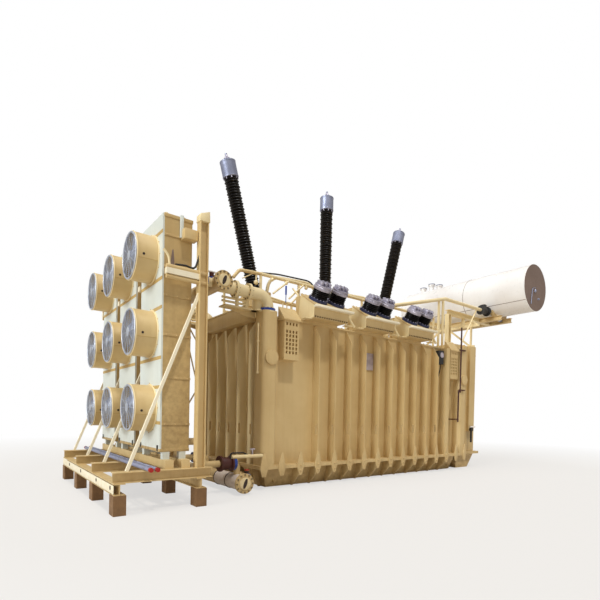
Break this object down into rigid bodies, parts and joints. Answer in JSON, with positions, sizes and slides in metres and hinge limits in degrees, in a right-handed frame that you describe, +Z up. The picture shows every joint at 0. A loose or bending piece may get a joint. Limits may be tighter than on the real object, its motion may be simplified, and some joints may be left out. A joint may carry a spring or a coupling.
{
  "type": "power transformer",
  "caption": "Oil-filled power transformer with a finned tank, tall and short bushings, a raised conservator and a bank of fan-blown oil coolers on its own frame.",
  "frame": {"origin": "centre of the tank's bottom face, on the ground", "axes": "+X along the tank from the coolers to the conservator, -Y the low-voltage front, +Z up"},
  "size_m": [14.51, 5.28, 8.45],
  "materials": {
    "blue_paint": "satin",
    "conservator_white": "satin",
    "cream_paint": "satin",
    "dark_glaze": "gloss",
    "fan_blue_grey": "satin",
    "maroon_paint": "satin",
    "motor_grey": "satin",
    "relay_black": "satin",
    "shield_aluminium": "satin",
    "tube_blue": "satin",
    "white_panel_paint": "satin"
  },
  "bodies": {
    "transformer": {"base_beams": "cream_paint", "bell_flange": "cream_paint", "bracket_posts": "cream_paint", "bracket_trusses": "cream_paint", "cable_column": "cream_paint", "conservator_cradle": "conservator_white", "conservator_ends": "conservator_white", "conservator_shell": "conservator_white", "cooler_body_1": "cream_paint", "cooler_body_2": "cream_paint", "cooler_body_3": "cream_paint", "cooler_legs": "white_panel_paint", "corner_ducts": "cream_paint", "earthing_bar": "maroon_paint", "end_compartment": "cream_paint", "end_fins": "cream_paint", "end_walls": "cream_paint", "fan_guards": "fan_blue_grey", "fan_motors": "motor_grey", "fan_panels": "white_panel_paint", "fan_shrouds": "cream_paint", "flange_lugs": "cream_paint", "frame_braces": "cream_paint", "frame_feet": "cream_paint", "frame_posts": "cream_paint", "front_fins": "cream_paint", "front_wall": "cream_paint", "gas_relay": "relay_black", "guard_rails": "cream_paint", "hv_insulators": "dark_glaze", "hv_shields": "shield_aluminium", "hv_turrets": "cream_paint", "instrument_box": "relay_black", "louvre_boxes": "cream_paint", "lower_branches": "cream_paint", "lower_header": "cream_paint", "lv_base_rings": "blue_paint", "lv_insulators": "dark_glaze", "lv_terminal_caps": "shield_aluminium", "lv_turrets": "cream_paint", "pipe_valves": "blue_paint", "rear_fins": "cream_paint", "rear_wall": "cream_paint", "relay_pipe": "cream_paint", "tank_cover": "cream_paint", "tank_tray": "cream_paint", "tie_tubes": "tube_blue", "upper_branches": "cream_paint", "upper_header": "cream_paint"},
    "fan_1": {"fan_rotor_1": "fan_blue_grey"},
    "fan_2": {"fan_rotor_2": "fan_blue_grey"},
    "fan_3": {"fan_rotor_3": "fan_blue_grey"},
    "fan_4": {"fan_rotor_4": "fan_blue_grey"},
    "fan_5": {"fan_rotor_5": "fan_blue_grey"},
    "fan_6": {"fan_rotor_6": "fan_blue_grey"},
    "fan_7": {"fan_rotor_7": "fan_blue_grey"},
    "fan_8": {"fan_rotor_8": "fan_blue_grey"},
    "fan_9": {"fan_rotor_9": "fan_blue_grey"}
  },
  "joints": [
    {"name": "fan_1_spin", "type": "hinge", "parent": "transformer", "child": "fan_1", "pos_m": [-6.695, -1.521, 1.766], "axis": [1, 0, 0], "continuous": true},
    {"name": "fan_2_spin", "type": "hinge", "parent": "transformer", "child": "fan_2", "pos_m": [-6.695, -1.521, 3.136], "axis": [1, 0, 0], "continuous": true},
    {"name": "fan_3_spin", "type": "hinge", "parent": "transformer", "child": "fan_3", "pos_m": [-6.695, -1.521, 4.506], "axis": [1, 0, 0], "continuous": true},
    {"name": "fan_4_spin", "type": "hinge", "parent": "transformer", "child": "fan_4", "pos_m": [-6.695, 0, 1.766], "axis": [1, 0, 0], "continuous": true},
    {"name": "fan_5_spin", "type": "hinge", "parent": "transformer", "child": "fan_5", "pos_m": [-6.695, 0, 3.136], "axis": [1, 0, 0], "continuous": true},
    {"name": "fan_6_spin", "type": "hinge", "parent": "transformer", "child": "fan_6", "pos_m": [-6.695, 0, 4.506], "axis": [1, 0, 0], "continuous": true},
    {"name": "fan_7_spin", "type": "hinge", "parent": "transformer", "child": "fan_7", "pos_m": [-6.695, 1.521, 1.766], "axis": [1, 0, 0], "continuous": true},
    {"name": "fan_8_spin", "type": "hinge", "parent": "transformer", "child": "fan_8", "pos_m": [-6.695, 1.521, 3.136], "axis": [1, 0, 0], "continuous": true},
    {"name": "fan_9_spin", "type": "hinge", "parent": "transformer", "child": "fan_9", "pos_m": [-6.695, 1.521, 4.506], "axis": [1, 0, 0], "continuous": true}
  ]
}
